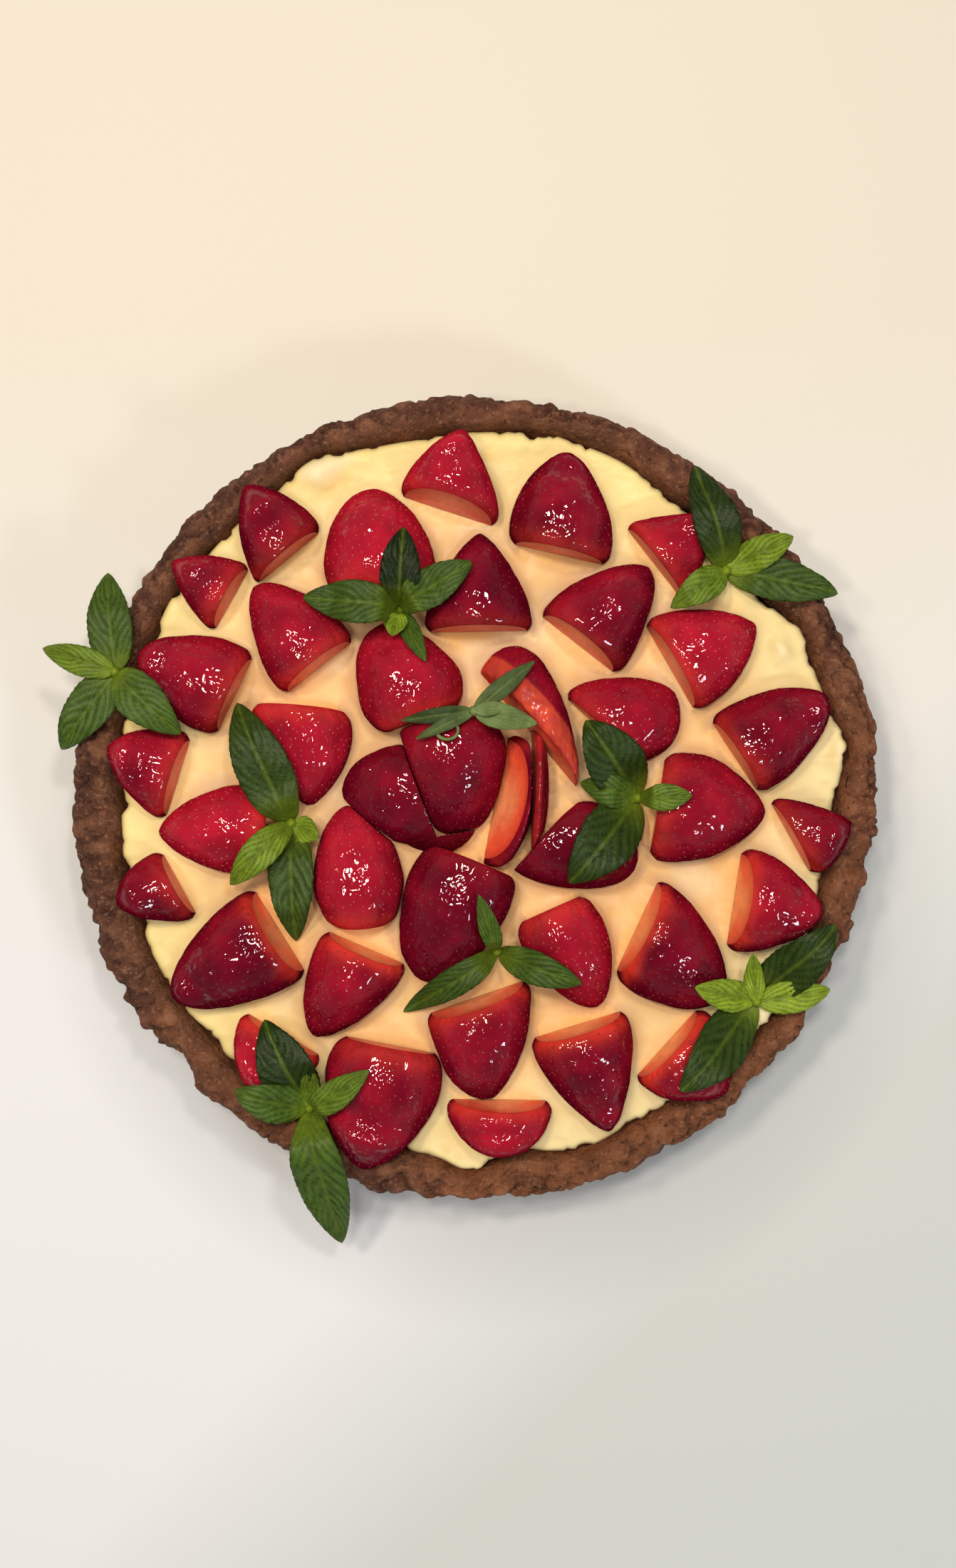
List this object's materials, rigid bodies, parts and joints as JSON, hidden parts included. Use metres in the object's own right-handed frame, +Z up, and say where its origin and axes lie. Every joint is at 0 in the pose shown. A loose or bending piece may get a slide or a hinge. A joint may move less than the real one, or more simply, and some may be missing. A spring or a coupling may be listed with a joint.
{
  "type": "strawberry tart",
  "caption": "Round cocoa shortcrust tart with a thick uneven rim, filled with pastry cream and topped with cut glazed strawberries and sprigs of mint.",
  "frame": {"origin": "middle of the crust's flat underside", "axes": "+Z up out of the filling; +X to the right and +Y away in the view from above that shows the stem of the whole fanned berry at the top"},
  "size_m": [0.2735, 0.2791, 0.0521],
  "materials": {
    "crust": "rough baked cocoa dough, no gloss",
    "cream": "smooth moist pastry cream with a soft sheen",
    "berry": "red berry skin with seeds under a clear wet glaze",
    "mint": "veined leaf with a dull sheen",
    "sepal": "downy grey-green sepal"
  },
  "bodies": {
    "root": {"crust": "crust", "cream": "cream", "berry_01": "berry", "berry_02": "berry", "berry_03": "berry", "berry_04": "berry", "berry_05": "berry", "berry_06": "berry", "berry_07": "berry", "berry_08": "berry", "berry_09": "berry", "berry_10": "berry", "berry_11": "berry", "berry_12": "berry", "berry_13": "berry", "berry_14": "berry", "berry_15": "berry", "berry_16": "berry", "berry_17": "berry", "berry_18": "berry", "berry_19": "berry", "berry_20": "berry", "berry_21": "berry", "berry_22": "berry", "berry_23": "berry", "berry_24": "berry", "berry_25": "berry", "berry_26": "berry", "berry_27": "berry", "berry_28": "berry", "berry_29": "berry", "berry_30": "berry", "berry_31": "berry", "berry_32": "berry", "berry_33": "berry", "berry_34": "berry", "berry_35": "berry", "berry_36": "berry", "fan_slice_1": "berry", "fan_slice_2": "berry", "fan_slice_3": "berry", "fan_slice_4": "berry", "fan_slice_5": "berry", "mint_1": "mint", "mint_2": "mint", "mint_3": "mint", "mint_4": "mint", "mint_5": "mint", "mint_6": "mint", "mint_7": "mint", "mint_8": "mint", "calyx": "sepal"}
  },
  "joints": []
}
